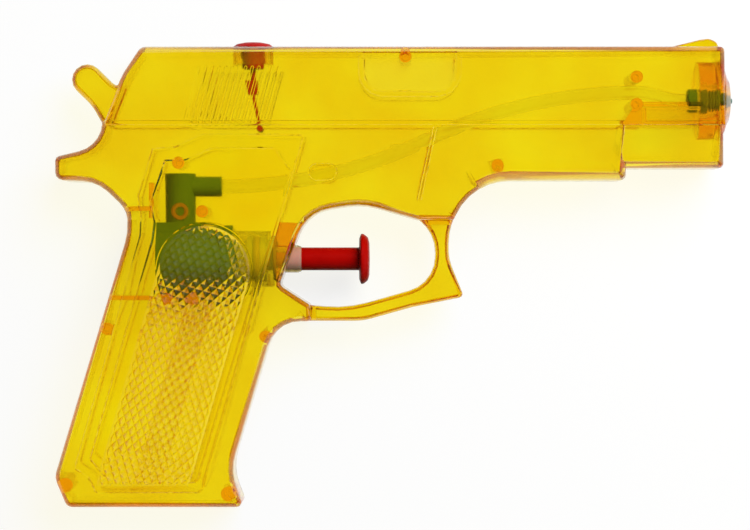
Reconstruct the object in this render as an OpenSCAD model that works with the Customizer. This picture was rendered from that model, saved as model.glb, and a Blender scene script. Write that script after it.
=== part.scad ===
// Toy water pistol with a trigger pump. Two moulded half shells hold the pump, its hose,
// its nozzle and the filler plug. It lies on its left side: +X runs to the muzzle,
// +Y to the sights and +Z to its right-hand side. Lengths are in millimetres.

/* [Slide] */
// Length of the slide along its lower edge
slide_length = 163.6; // [158:0.2:175]
// Height of the slide above the frame
slide_height = 20.3; // [19:0.1:23]
// Width across the slide
slide_width = 24; // [23:0.2:28]
// Radius along the slide's top edges
slide_edge = 3.4; // [2:0.1:4.2]
// How far the slide's sides reach down over the frame
slide_lap = 0.6; // [0.2:0.1:1]
// How far the slide's rear face leans forward
slide_rake = 9.5; // [8:0.1:12]
// Height of the front sight above the slide
sight_height = 2.7; // [1.5:0.1:4]
// Length of the front sight
sight_length = 14.7; // [10:0.1:18]
// Width of the front sight
sight_width = 4; // [2:0.1:6]
// Number of finger grooves on each side of the slide
groove_count = 13; // [8:1:14]
// Spacing of the finger grooves
groove_pitch = 1.75; // [1.4:0.05:2]
// Length of the ejection port recess
port_length = 26.8; // [20:0.1:32]
// Height of the ejection port recess
port_height = 13.2; // [9:0.1:15]
// Depth of the ejection port recess
port_depth = 0.5; // [0.2:0.05:0.7]
// Distance of the ejection port from the slide's rear end
port_start = 67.2; // [60:0.2:75]
// Width of the sloping wall round the ejection port
port_slope = 1.3; // [0.5:0.1:2]

/* [Frame] */
// Height of the slide's lower edge above the grip's base
frame_height = 101.2; // [99:0.2:108]
// Width across the frame and the grip
frame_width = 22.8; // [21:0.2:23]
// How far the tang reaches behind the slide
tang_reach = 13; // [11:0.1:15]
// Depth of the dust cover below the slide
dust_depth = 14.9; // [13:0.1:17]
// Length of the narrow shroud in front of the dust cover
shroud_length = 25.3; // [22:0.1:30]
// Depth of the shroud below the slide
shroud_depth = 11.7; // [10:0.1:13]
// Width across the shroud
shroud_width = 20.8; // [19:0.2:22]
// Thickness of the moulded walls
wall = 1.2; // [1:0.05:1.5]
// Gap between the two half shells at the weld line
weld_gap = 0.1; // [0.05:0.01:0.2]
// Width across the hammer
hammer_width = 8; // [6:0.2:10]

/* [Grip] */
// Rake of the grip's front and back
grip_rake = 16.7; // [15:0.1:18]
// Length of the grip's base
grip_base = 50; // [47:0.2:54]
// Step between the two raised levels of the grip panels
panel_step = 0.25; // [0.1:0.05:0.4]
// How far the grip panels lie below the slide's sides
panel_set = 0.1; // [0.05:0.05:0.2]
// Width of the sloping edge round the grip panels
panel_slope = 0.7; // [0.3:0.1:1]

/* [Trigger guard] */
// Length of the finger opening
finger_length = 41.2; // [39:0.2:46]
// Height of the finger opening above the pump's axis
finger_rise = 14.5; // [13:0.1:16]
// Depth of the finger opening below the pump's axis
finger_drop = 13.2; // [12:0.1:15]
// Distance from the rear tip to the back of the finger opening
finger_x = 59.2; // [58:0.1:61]
// Thickness of the guard's lower bar
guard_bar = 3.3; // [3:0.1:4.5]
// Width across the guard
guard_width = 9; // [7:0.2:12]

/* [Pump] */
// Depth of the pump's axis below the slide
pump_drop = 35.7; // [35:0.1:37]
// Travel of the trigger
stroke = 11; // [8:0.5:12]
// Bore of the pump barrel
bore_d = 12.4; // [11.8:0.1:12.8]
// Wall of the pump barrel
barrel_wall = 1.2; // [0.9:0.05:1.4]
// Length of the barrel behind its front shoulder
barrel_length = 17.3; // [16.5:0.1:18]
// Length of barrel that shows in front of the valve housing
barrel_show = 10.8; // [9:0.1:12]
// Thickness of the rubber washer in front of the barrel
gasket_t = 0.9; // [0.6:0.1:1.2]
// Outer diameter of the barrel's nose
nose_d = 7.3; // [7:0.1:8]
// Length of the valve housing
housing_length = 20.1; // [19:0.1:22]
// Thickness of the valve housing's wall
housing_wall = 1.2; // [0.9:0.05:1.3]
// Length of the piston
piston_length = 5; // [4.5:0.1:6]
// Thickness of the piston's rubber ring
ring_d = 1.8; // [1.5:0.1:2]
// Wire of the return spring
wire_d = 0.7; // [0.5:0.05:0.8]
// Mean diameter of the return spring
spring_d = 9.6; // [9.4:0.1:10]
// Number of turns of the return spring
spring_turns = 7; // [5:1:8]
// Diameter of the valve balls
ball_d = 4; // [3.6:0.1:4.2]
// Lift of the valve balls
ball_lift = 1.5; // [1:0.1:2]

/* [Trigger] */
// Diameter of the trigger's shaft
shaft_d = 6.1; // [5.6:0.1:6.2]
// Diameter of the trigger's pad
pad_d = 13.5; // [11:0.1:15]
// Thickness of the trigger's pad
pad_t = 2.8; // [2.4:0.1:3.6]
// Distance from the back of the finger opening to the pad
pad_reach = 21; // [20:0.1:23]

/* [Hose and nozzle] */
// Outer diameter of the hose
hose_d = 3.6; // [3:0.1:4]
// Bore of the hose
hose_bore = 2.2; // [1.6:0.1:2.4]
// Height of the nozzle's axis above the slide's lower edge
nozzle_rise = 6.4; // [5:0.1:8]
// Diameter of the nozzle's collar
nozzle_d = 6.4; // [6:0.1:7]
// Number of sealing ribs on the nozzle
nozzle_ribs = 5; // [3:1:6]
// How far the muzzle's boss stands out
boss_reach = 2.3; // [1.5:0.1:3]
// How far the nozzle's tip stands out of the boss
tip_reach = 0.8; // [0.4:0.1:1.5]

/* [Filler plug] */
// Distance from the rear tip to the filler hole
filler_x = 51.9; // [46:0.1:60]
// Diameter of the plug where it fills the hole
plug_d = 6.6; // [5.6:0.1:7]
// Diameter of the plug's domed cap
cap_d = 11; // [9:0.1:12]
// Height of the plug's domed cap
cap_h = 1.6; // [1:0.1:2.2]
// How far the plug lifts before its cross bar catches
plug_lift = 16; // [12:0.2:16.4]

/* [Fits] */
// Clearance of a piece held in its seat
seat_gap = 0.05; // [0.03:0.01:0.08]
// Clearance of a piece that slides in a bore
slide_gap = 0.1; // [0.05:0.01:0.1]
// Diameter of the shells' locating pegs
peg_d = 3.3; // [2.8:0.1:3.6]

/* [Hidden] */
$fn = 64;

// How far a facet may cut into a corner's arc, and the facets of edges and pegs
arc_slack = 0.08;
edge_steps = 3;
inner_steps = 2;
shell_fn = 20;
bore_fn = 32;
peg_fn = 14;
hose_sides = 12;
least_r = 0.25;
least_edge = 0.3;

// Landmarks, measured forward from the tang's tip and up from the grip's base
half = slide_width / 2;
frame_half = frame_width / 2;
line_y = frame_height;
top_y = line_y + slide_height;
slide_x = tang_reach;
muzzle_x = slide_x + slide_length;
dust_x = muzzle_x - shroud_length;
dust_y = line_y - dust_depth;
pump_y = line_y - pump_drop;
guard_y = pump_y - finger_drop - guard_bar;
back_top = [slide_x + 6.2, line_y - 28.7];
heel_y = 7.8;
rake = tan(grip_rake);
heel_x = back_top[0] - (back_top[1] - heel_y) * rake;
toe_x = heel_x + grip_base;
strap_base = [toe_x - 3.6, 9.4];
function back_x(y) = back_top[0] - (back_top[1] - y) * rake;
function strap_x(y) = strap_base[0] + (y - strap_base[1]) * rake;

// The pump, from the trigger's wall backwards
wall_x = finger_x - 1;
barrel_front = wall_x - gasket_t;
barrel_rear = barrel_front - barrel_length;
barrel_r = bore_d / 2 + barrel_wall;
barrel_end = 1.6;
nose_front = finger_x + 5.6;
housing_front = barrel_front - barrel_show;
housing_rear = housing_front - housing_length;
housing_r = barrel_r + seat_gap + housing_wall;
housing_end = 2;
chamber_rear = housing_rear + housing_end;
piston_front = barrel_front - barrel_end - 0.3;
piston_rear = piston_front - piston_length;
piston_r = bore_d / 2 - 0.2;
socket_depth = 3.2;
shaft_r = shaft_d / 2;
pad_x = finger_x + pad_reach;

// The outlet valve's tower above the valve housing
tower_d = 8;
tower_set = 6.2;
tower_x = housing_rear + tower_set;
seat_y = pump_y + housing_r - 0.8;
flange_t = 1.8;
flange = [11.9, 10];
tower_height = 14.8;
tower_top = seat_y + tower_height;
spigot_drop = 3.4;
spigot_y = tower_top - spigot_drop;
spigot_d = 5.3;
spigot_reach = 10.9;
spigot_x = tower_x + spigot_reach;
port_d = 3;
hose_grip = 4;
cage_d = spring_d - 2 * wire_d;
cage_rear = chamber_rear - 0.8;
cage_front = chamber_rear + 5.8;
inlet_d = 2.6;

// The hose's guide, the nozzle and the muzzle
nozzle_y = line_y + nozzle_rise;
boss_x = muzzle_x + boss_reach;
tip_x = boss_x + tip_reach;
nozzle_rear = muzzle_x - 9;
collar_front = muzzle_x - 4.2;
shank_front = muzzle_x + 0.8;
shank_r = nozzle_d / 2 - 0.35;
block_r = 10.6;
block_rear = muzzle_x - 6.5;
peg_r = peg_d / 2;
guide = [muzzle_x - 23.3, nozzle_y + 2.2];
guide_gap = hose_d / 2 + peg_r + 0.15;

// The filler plug
hole_r = plug_d / 2 + seat_gap;
collar_depth = 4.2;
bar_d = 1.6;
bar_y = top_y - collar_depth - 0.4 - plug_lift - bar_d / 2;
bar_dx = 2.2;

// The part's box is centred on X and Y and stands on Z = 0
sight_y = top_y + sight_height;
rear_x = min(0, heel_x + 0.3);
centre = [(rear_x + tip_x) / 2, sight_y / 2];

// Outlines run anticlockwise. A point is [x, y, corner radius], with the radius of a slab's edge there
slide_outline = [
    [slide_x, line_y - slide_lap, 0.5, 0.6],
    [muzzle_x, line_y - slide_lap, 0.4, 0.6],
    [muzzle_x, top_y, 1.2, slide_edge - 0.6],
    [slide_x + slide_rake, top_y, 2.6, slide_edge],
    [slide_x + 4.4, line_y + 12.4, 10, 2.6]
];
frame_outline = [
    [slide_x + 3.5, line_y + 5.3, 0.4, 0.5],
    [slide_x - 0.6, line_y, 0.4, 1.6],
    [slide_x - 1, line_y - 5.9, 8, 2.4],
    [0, line_y - 8.8, 1.3, 2.2],
    [0, line_y - 14.9, 2.1, 2.2],
    [slide_x - 2, line_y - 15.3, 10.6, 3],
    [slide_x + 5.8, line_y - 22.8, 6.6, 3],
    [back_top[0], back_top[1], 15.9, 2.6],
    [heel_x, heel_y, 4, 2.6],
    [heel_x + 3.4, 0, 2.1, 2],
    [toe_x, 0, 1.3, 2],
    [strap_base[0], strap_base[1], 14.6, 3],
    [strap_x(guard_y), guard_y, 9, 3],
    [finger_x + 8.5, guard_y, 1.2, 1.5],
    [finger_x + 8, pump_y - finger_drop + 1.1, 1, 1.5],
    [finger_x, pump_y - 6.9, 1.3, 2],
    [finger_x + 7.2, pump_y + finger_rise - 2.2, 10.6, 3.2],
    [finger_x + 22, pump_y + finger_rise, 18.5, 3.4],
    [finger_x + finger_length - 4.5, pump_y + finger_rise - 4.2, 1, 2],
    [finger_x + finger_length + 4.8, pump_y + finger_rise - 4.2, 0.4, 1.5],
    [finger_x + finger_length + 7.3, pump_y + finger_rise + 1.3, 15.6, 2.2],
    [finger_x + finger_length + 15.5, dust_y, 15.6, 6],
    [dust_x - 0.6, dust_y, 1.4, 4.6],
    [dust_x, line_y + 5.3, 0.4, 2]
];
shroud_outline = [
    [dust_x - 6, line_y - shroud_depth, 0.4, 4.2],
    [muzzle_x, line_y - shroud_depth, 1.1, 3.4],
    [muzzle_x - 0.4, line_y + 5.3, 0.4, 1],
    [dust_x - 6, line_y + 5.3, 0.4, 1]
];
guard_outline = [
    [finger_x - 7.2, pump_y - 5.5, 0.4, 1.5],
    [finger_x - 7.2, guard_y - 9.2, 0.4, 1.5],
    [strap_x(guard_y), guard_y, 12, 1.5],
    [finger_x + 22, guard_y, 16, 1.5],
    [finger_x + finger_length - 5.9, guard_y + 3.7, 16, 1.5],
    [finger_x + finger_length + 7.7, guard_y + 6.4, 1.1, 1.2],
    [finger_x + finger_length + 3.6, pump_y, 10.6, 1.5],
    [finger_x + finger_length + 3.6, pump_y + 7.9, 16.7, 1.5],
    [finger_x + finger_length + 6.3, pump_y + 13.6, 0.4, 1.5],
    [finger_x + finger_length + 3.6, pump_y + 18.5, 0.4, 1.5],
    [finger_x + finger_length - 8.4, pump_y + 18.5, 0.4, 1.5],
    [finger_x + finger_length - 9.9, pump_y + finger_rise - 2, 0.4, 1.5],
    [finger_x + finger_length, pump_y + finger_rise - 4.1, 10.6, 1.5],
    [finger_x + finger_length, pump_y - finger_drop + 6.7, 9.5, 1.5],
    [finger_x + 17.5, pump_y - finger_drop, 32, 1.5],
    [finger_x + 7.4, pump_y - finger_drop + 1, 5, 1.5],
    [finger_x + 0.8, pump_y - 9.3, 0.4, 1.5]
];
hammer_outline = [
    [slide_x - 11, line_y + 12, 4.05, 2],
    [slide_x - 3.9, line_y + 5, 8, 2],
    [slide_x - 0.5, line_y - 0.8, 0.4, 1.2],
    [slide_x + 4.5, line_y - 0.6, 0.4, 1.2],
    [slide_x + 6.4, line_y + 12.2, 0.4, 2],
    [slide_x + 2.4, line_y + 10.2, 1.6, 2],
    [slide_x - 5.2, line_y + 17.8, 4.05, 2]
];
sight_outline = [
    [muzzle_x - 0.5 - sight_length, top_y - 1.5, 0.3, 0.4],
    [muzzle_x - 0.5, top_y - 1.5, 0.3, 0.4],
    [muzzle_x - 0.9, sight_y - 1, 1.6, 0.8],
    [muzzle_x - 3.2, sight_y, 1.6, 0.8],
    [muzzle_x - 5.6, sight_y - 0.3, 1.6, 0.8],
    [muzzle_x - 0.5 - sight_length, top_y, 0.3, 0.4]
];
panel_outline = [
    [back_x(10.5) + 4.6, 10.5, 1.2],
    [back_x(7.8) + 9.2, 7.8, 1.2],
    [back_x(3.8) + 12.2, 3.8, 1.2],
    [strap_x(3.8) - 5.8, 3.8, 1.5],
    [strap_x(line_y - 3) - 6.9, line_y - 3, 1],
    [slide_x + 25.3, line_y - 3, 4],
    [slide_x + 18.7, line_y - 6.2, 6],
    [slide_x + 12.8, line_y - 6.5, 0.6],
    [slide_x + 8.9, line_y - 19.2, 2],
    [slide_x + 9.7, line_y - 24.2, 3],
    [back_top[0] + 3.2, back_top[1] - 1, 6]
];
pad_outline = [
    [back_x(13) + 8, 13, 1.2],
    [back_x(6.5) + 15, 6.5, 1.2],
    [strap_x(6.5) - 7.6, 6.5, 1.5],
    [strap_x(line_y - 12.3) - 7.4, line_y - 12.3, 1.2],
    [slide_x + 46.8, line_y - 9.6, 2],
    [slide_x + 45.2, line_y - 6.5, 1.2],
    [slide_x + 28.5, line_y - 6.5, 4],
    [slide_x + 21.3, line_y - 9.6, 4],
    [slide_x + 16, line_y - 9.6, 0.6],
    [slide_x + 12.2, line_y - 21, 2],
    [slide_x + 13.2, line_y - 26, 3],
    [back_top[0] + 6.4, back_top[1] - 2, 6]
];
catch_outline = [
    [finger_x + 7.5, line_y - 15.2, 2.3, 0.5],
    [finger_x + 15.3, line_y - 15.2, 2.3, 0.5],
    [finger_x + 15.3, line_y - 10.5, 2.3, 0.5],
    [finger_x + 7.5, line_y - 10.5, 2.3, 0.5]
];
port_x = slide_x + port_start;
port_outline = [
    [port_x, top_y - port_height, 6.6],
    [port_x + port_length, top_y - port_height, 6.6],
    [port_x + port_length, top_y + port_slope + 1, 0.3],
    [port_x, top_y + port_slope + 1, 0.3]
];

// Pegs that hold the halves together and locate the pump and the hose
back_peg = [2.5, 47];
back_rib_drop = 10.9;
pegs = [
    [tower_x, tower_top + peg_r + 1],
    [tower_x + tower_d / 2 + peg_r + 0.6, seat_y + flange_t + peg_r + 1.2],
    [housing_rear + 3.1, pump_y - housing_r - peg_r - 0.25],
    [housing_rear + 9.8, pump_y - housing_r - peg_r - 0.25],
    [finger_x - 3.7, guard_y - 4],
    [finger_x + finger_length + 16.3, dust_y + 3.9],
    [port_x + 12.2, top_y - 2.7],
    [back_x(back_peg[1]) + back_peg[0], back_peg[1]],
    guide + [0, guide_gap],
    guide - [0, guide_gap]
];
back_rib_y = pump_y - back_rib_drop;
posts = [[heel_x + 3.2, heel_y - 1.9], [toe_x - 4.1, 3.6]];

// Corner arcs of an outline that is moved inwards
function at(o, i) = let (p = o[(i + len(o)) % len(o)]) [p[0], p[1]];
function heading(o, i) = let (v = at(o, i + 1) - at(o, i)) v / norm(v);
function left(v) = [-v[1], v[0]];
function spun(v, a) = [v[0] * cos(a) - v[1] * sin(a), v[0] * sin(a) + v[1] * cos(a)];
function turn(o, i) = let (a = heading(o, i - 1), b = heading(o, i)) atan2(cross(a, b), a * b);
function corner_arc(o, i, inset) =
    let (
        a = heading(o, i - 1),
        b = heading(o, i),
        t = turn(o, i),
        s = sign(t),
        p = at(o, i) + inset * (left(a) + left(b)) / (1 + a * b),
        r = max(o[i][2] - s * inset, least_r),
        c = p - r * tan(abs(t) / 2) * a + s * r * left(a),
        n = ceil(abs(t) / (2 * acos(1 - arc_slack / max(o[i][2], 0.5))))
    )
    [for (k = [0:n]) c + spun(-s * r * left(a), t * k / n)];
function flat_points(o, inset = 0) = [for (i = [0:len(o) - 1]) each corner_arc(o, i, inset)];

// One level of a slab: the outline moved in, with its edges rounded by the share s of 90 degrees
function level(o, height, inset, s) = [
    for (i = [0:len(o) - 1])
        let (e = max(o[i][3] - inset, least_edge))
            for (q = corner_arc(o, i, inset + e * (1 - cos(90 * s))))
                [q[0], q[1], height - e * (1 - sin(90 * s))]
];

// The outline moved in, at one height
function outline_at(o, height, inset = 0) = [for (q = flat_points(o, inset)) [q[0], q[1], height]];

// A solid through rings of points that lie one above the other
module lofted(rings) {
    n = len(rings[0]);
    sides = [
        for (k = [0:len(rings) - 2])
            for (i = [0:n - 1])
                let (j = (i + 1) % n)
                    each [
                        [k * n + i, (k + 1) * n + i, (k + 1) * n + j],
                        [k * n + i, (k + 1) * n + j, k * n + j]
                    ]
    ];
    floor_face = [for (i = [0:n - 1]) i];
    top_face = [for (i = [n - 1:-1:0]) (len(rings) - 1) * n + i];
    polyhedron([for (r = rings) each r], concat([floor_face], sides, [top_face]));
}

// A slab from the weld line up to its height, its upper edge rounded all the way round
module slab(o, height, inset = 0, foot = 0) {
    steps = inset > 0 ? inner_steps : edge_steps;
    lofted(concat(
        [outline_at(o, foot, inset)],
        [for (k = [0:steps]) level(o, height - inset, inset, k / steps)]
    ));
}

// Solids turned about a line along X, at height y, or along Y, at x, from [radius, place] points
module turned_x(y, profile) {
    translate([0, y, 0])
        rotate([0, 90, 0])
            rotate_extrude()
                polygon(profile);
}
module turned_y(x, profile) {
    translate([x, 0, 0])
        rotate([-90, 0, 0])
            rotate_extrude()
                polygon(profile);
}
module rod_x(x0, x1, y, d) {
    translate([x0, y, 0])
        rotate([0, 90, 0])
            cylinder(d = d, h = x1 - x0);
}
module rod_y(x, y0, y1, d) {
    translate([x, y0, 0])
        rotate([-90, 0, 0])
            cylinder(d = d, h = y1 - y0);
}

// Moves a piece from the gun's own landmarks to the part's frame
module placed() {
    translate([-centre[0], -centre[1], half])
        children();
}

module shell_outside() {
    slab(slide_outline, half);
    slab(frame_outline, frame_half);
    slab(shroud_outline, shroud_width / 2);
    slab(guard_outline, guard_width / 2);
    slab(hammer_outline, hammer_width / 2);
    slab(sight_outline, sight_width / 2);
    slab(catch_outline, frame_half + 0.6, 0, frame_half - wall / 2);
    grip_panel(panel_outline, half - panel_set - panel_step);
    grip_panel(pad_outline, half - panel_set);
    muzzle_boss();
}

// Raised level of the grip panel, with a sloping edge
module grip_panel(o, height) {
    lofted([
        outline_at(o, frame_half - wall / 2),
        outline_at(o, height - panel_step - 0.05),
        outline_at(o, height, panel_slope)
    ]);
}

module muzzle_boss() {
    turned_x(nozzle_y, [
        [0, muzzle_x - 2], [9.3, muzzle_x - 2], [9.3, muzzle_x + 0.4], [8.9, muzzle_x + 0.7],
        [6.4, boss_x - 0.8], [5.4, boss_x - 0.25], [4.2, boss_x], [0, boss_x]
    ], $fn = shell_fn);
}

// The hollow bodies, moved in from the outside
module shell_core(inset) {
    slab(slide_outline, half, inset);
    slab(frame_outline, frame_half, inset);
    slab(shroud_outline, shroud_width / 2, inset);
    slab(hammer_outline, hammer_width / 2, inset);
}

module guard_channel() {
    translate([0, 0, -1])
        linear_extrude(guard_width / 2 - wall + 1)
            offset(delta = -wall)
                difference() {
                    polygon(flat_points(guard_outline));
                    polygon(flat_points(frame_outline));
                }
}

// A rib that stands on the inside of the shell's wall and ends short of the weld line
module rib(x, y, size, foot = 1) {
    translate([x, y, foot])
        cube([size[0], size[1], half - foot]);
}

module shell_ribs() {
    trigger_wall();
    rod_x(block_rear, muzzle_x - 1, nozzle_y, 2 * block_r);
    rod_y(filler_x, top_y - collar_depth, top_y - 1, 2 * hole_r + 4);
    for (p = pegs)
        translate([p[0], p[1], 0])
            cylinder(d = peg_d, h = half, $fn = peg_fn);
    for (p = posts)
        translate([p[0], p[1], 0])
            cylinder(d = 3.8, h = half, $fn = peg_fn);
    tower_clamp();
    rib(housing_rear - 1.5, seat_y + 2.9, [1.3, 9.3]);
    rib(slide_x + 4, seat_y + 4.8, [housing_rear - slide_x - 4.3, wall]);
    rib(back_x(back_rib_y), back_rib_y, [housing_rear - 1.4 - back_x(back_rib_y), wall]);
    hose_saddle();
}

// Thick wall behind the finger opening, which the pump barrel's nose passes through
module trigger_wall() {
    depth = 9;
    linear_extrude(depth)
        polygon([
            [wall_x, pump_y - 5.7], [finger_x + 0.5, pump_y - 5.7],
            [finger_x + 6, pump_y + 9.6], [wall_x, pump_y + 9.6]
        ]);
}

// Tube on the shell's wall that bears on the side of the valve tower
module tower_clamp() {
    translate([tower_x + 0.4, seat_y + flange_t + 2.9, tower_d / 2 + 0.3])
        difference() {
            cylinder(d = 4.5, h = half);
            translate([0, 0, -1])
                cylinder(d = 2.4, h = half - tower_d / 2 - wall);
        }
}

// Plates beside the hose behind the muzzle, and the web at their rear end
module hose_saddle() {
    plate_z = hose_d / 2 + 0.6;
    plate = [block_rear - guide[0] - 1, nozzle_rise - 0.2];
    translate([guide[0] + 1.7, line_y - 0.6, plate_z])
        cube([plate[0], plate[1], 2]);
    rib(guide[0] + 1.7, line_y - 0.6, [plate[0], wall], plate_z);
    rib(guide[0] + 1.7, nozzle_y - wall - 0.8, [plate[0], wall], plate_z);
    translate([0, 0, plate_z])
        linear_extrude(half)
            polygon([
                [guide[0] - 4, line_y - 0.4], [guide[0] + 2.5, line_y - 0.4],
                [guide[0] + 2.5, line_y + 4], [guide[0] - 1, line_y + 4]
            ]);
}

// Slanting finger groove in the slide's side
module finger_groove(x) {
    lean = 0.27;
    for (rise = [0.7, slide_height - 5.6])
        translate([x + lean * rise, line_y + rise, half + 0.12])
            sphere(d = 1, $fn = 6);
}

// Seats of the pump's nose, the nozzle and the filler plug
module shell_bores() {
    rod_x(block_rear - 1, collar_front + seat_gap, nozzle_y, nozzle_d + 2 * seat_gap);
    rod_x(nozzle_rear - 3, block_rear, nozzle_y, nozzle_d + 0.6);
    rod_x(collar_front, shank_front + seat_gap, nozzle_y, 2 * (shank_r + seat_gap));
    rod_x(muzzle_x, boss_x + 1, nozzle_y, 2);
    rod_y(filler_x, top_y - collar_depth - 1, top_y + 1, 2 * hole_r);
    rod_x(wall_x - 1, finger_x + 9, pump_y, nose_d + 2 * seat_gap);
}

module shell_cuts() {
    shell_bores($fn = bore_fn);
    lofted([
        outline_at(port_outline, half - port_depth, port_slope),
        outline_at(port_outline, half),
        outline_at(port_outline, half + 1)
    ]);
    for (i = [0:groove_count - 1])
        hull()
            finger_groove(slide_x + 21.2 + i * groove_pitch);
    translate([finger_x + finger_length - 0.1, line_y - 0.9, frame_half])
        rotate(-102.3)
            rotate([90, 0, 90])
                linear_extrude(19.7)
                    polygon([[-0.65, 0.1], [-0.2, -0.3], [0.2, -0.3], [0.65, 0.1]]);
}

// One half of the body, on the side of the weld line where Z is positive
module half_shell(socket) {
    hole = [peg_d - 1.4, 4];
    spare = 20;
    intersection() {
        translate([rear_x - spare, -spare, weld_gap / 2])
            cube([tip_x - rear_x + 2 * spare, sight_y + 2 * spare, half]);
        difference() {
            union() {
                difference() {
                    shell_outside();
                    shell_core(wall);
                    guard_channel();
                }
                intersection() {
                    shell_core(wall / 2);
                    shell_ribs();
                }
            }
            shell_cuts();
            if (socket)
                for (p = pegs)
                    translate([p[0], p[1], -1])
                        cylinder(d = hole[0], h = hole[1] + 1, $fn = peg_fn);
        }
    }
    if (!socket)
        for (p = pegs)
            translate([p[0], p[1], -hole[1] + 0.5])
                cylinder(d = hole[0] - 4 * slide_gap, h = hole[1] + 1, $fn = peg_fn);
}

module right_shell() {
    color([0.98, 0.86, 0.08, 0.6])
        placed()
            half_shell(true, $fn = shell_fn);
}

module left_shell() {
    color([0.95, 0.82, 0.06, 0.6])
        placed()
            mirror([0, 0, 1])
                half_shell(false, $fn = shell_fn);
}

module trigger() {
    pad_r = pad_d / 2;
    color("firebrick")
        placed()
            turned_x(pump_y, [
                [0, piston_front - socket_depth], [shaft_r, piston_front - socket_depth],
                [shaft_r, pad_x], [pad_r - 1.3, pad_x], [pad_r, pad_x + 0.5],
                [pad_r - 0.1, pad_x + 1.2], [pad_r - 1, pad_x + pad_t - 0.5],
                [pad_r - 2.5, pad_x + pad_t - 0.1], [0, pad_x + pad_t]
            ]);
}

module piston() {
    mid = (piston_front + piston_rear) / 2;
    groove = [ring_d / 2 + 0.15, piston_r - ring_d + 0.1];
    color("whitesmoke")
        placed()
            turned_x(pump_y, [
                [0, piston_rear - 1.5], [spring_d / 2 - wire_d / 2 - 0.3, piston_rear - 1.5],
                [spring_d / 2 - wire_d / 2 - 0.3, piston_rear], [piston_r, piston_rear],
                [piston_r, mid - groove[0]], [groove[1], mid - groove[0]],
                [groove[1], mid + groove[0]], [piston_r, mid + groove[0]],
                [piston_r, piston_front], [shaft_r + seat_gap, piston_front],
                [shaft_r + seat_gap, piston_front - socket_depth - seat_gap],
                [0, piston_front - socket_depth - seat_gap]
            ]);
}

module piston_seal() {
    mid = (piston_front + piston_rear) / 2;
    ring_r = bore_d / 2 - slide_gap / 2 - ring_d / 2;
    color("dimgray")
        placed()
            translate([mid, pump_y, 0])
                rotate([0, 90, 0])
                    rotate_extrude()
                        translate([ring_r, 0])
                            circle(d = ring_d);
}

// The return spring: one tube wound round the pump's axis
spring_x0 = chamber_rear + seat_gap + wire_d / 2;
spring_x1 = piston_rear - seat_gap - wire_d / 2;
curl_rings = 12;
wire_sides = 6;
spring_rings = spring_turns * curl_rings;
function spring_at(k) =
    let (a = 360 * k / curl_rings)
        [spring_x0 + (spring_x1 - spring_x0) * k / spring_rings,
         pump_y + spring_d / 2 * cos(a),
         spring_d / 2 * sin(a)];
function spring_ring(k) =
    let (a = 360 * k / curl_rings)
        [for (j = [0:wire_sides - 1])
            let (b = 360 * j / wire_sides)
                spring_at(k) + wire_d / 2 * [sin(b), cos(b) * cos(a), cos(b) * sin(a)]];
spring_gap = min([
    for (i = [0:spring_rings])
        for (j = [i + curl_rings / 2:spring_rings])
            norm(spring_at(i) - spring_at(j)) - wire_d
]);

module return_spring() {
    echo(spring_gap = spring_gap);
    n = wire_sides;
    last = spring_rings * n;
    points = [for (k = [0:spring_rings]) each spring_ring(k)];
    sides = [
        for (k = [0:spring_rings - 1])
            for (j = [0:n - 1])
                let (m = (j + 1) % n)
                    each [
                        [k * n + j, (k + 1) * n + m, (k + 1) * n + j],
                        [k * n + j, k * n + m, (k + 1) * n + m]
                    ]
    ];
    ends = [
        for (j = [1:n - 2])
            each [[0, j + 1, j], [last, last + j, last + j + 1]]
    ];
    color("silver")
        placed()
            polyhedron(points, concat(sides, ends));
}

module pump_barrel() {
    color([0.93, 0.93, 0.85, 0.7])
        placed()
            turned_x(pump_y, [
                [bore_d / 2, barrel_rear], [barrel_r, barrel_rear], [barrel_r, barrel_front],
                [nose_d / 2, barrel_front], [nose_d / 2, nose_front - 0.8],
                [nose_d / 2 - 0.4, nose_front], [shaft_r + slide_gap, nose_front],
                [shaft_r + slide_gap, barrel_front - barrel_end],
                [bore_d / 2, barrel_front - barrel_end]
            ]);
}

module barrel_gasket() {
    color("dimgray")
        placed()
            turned_x(pump_y, [
                [nose_d / 2 + seat_gap, barrel_front], [barrel_r - 1.4, barrel_front],
                [barrel_r - 1.4, wall_x], [nose_d / 2 + seat_gap, wall_x]
            ]);
}

module valve_housing() {
    color("darkolivegreen")
        placed()
            difference() {
                union() {
                    rod_x(housing_rear, housing_front, pump_y, 2 * housing_r);
                    rod_x(housing_front - 2.1, housing_front, pump_y, 2 * housing_r + 0.6);
                    translate([housing_rear, pump_y, -flange[1] / 2])
                        cube([flange[0], seat_y - pump_y, flange[1]]);
                }
                translate([housing_rear - 1, seat_y, -half])
                    cube([flange[0] + 1.3, half, 2 * half]);
                rod_x(chamber_rear, housing_front, pump_y, bore_d);
                rod_x(barrel_rear - seat_gap, housing_front + 1, pump_y, 2 * (barrel_r + seat_gap));
                rod_x(cage_rear - seat_gap, chamber_rear + 1, pump_y, cage_d + 2 * seat_gap);
                rod_x(housing_rear - 1, chamber_rear, pump_y, inlet_d);
                rod_y(tower_x, pump_y + bore_d / 2 - 1, seat_y + 1, port_d);
            }
}

module valve_tower() {
    stop_y = seat_y + outlet_rest + ball_d / 2 + ball_lift + 0.4;
    color("olivedrab")
        placed()
            difference() {
                union() {
                    rod_y(tower_x, seat_y, tower_top, tower_d);
                    translate([housing_rear, seat_y, -flange[1] / 2])
                        cube([flange[0], flange_t, flange[1]]);
                    rod_x(tower_x, spigot_x, spigot_y, spigot_d);
                }
                rod_y(tower_x, seat_y - 1, stop_y, ball_d + 0.7);
                rod_y(tower_x, stop_y - 1, spigot_y + 1, port_d);
                rod_x(tower_x, spigot_x, spigot_y, hose_bore);
                rod_x(spigot_x - hose_grip, spigot_x + 1, spigot_y, hose_d + 2 * seat_gap);
            }
}

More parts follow.
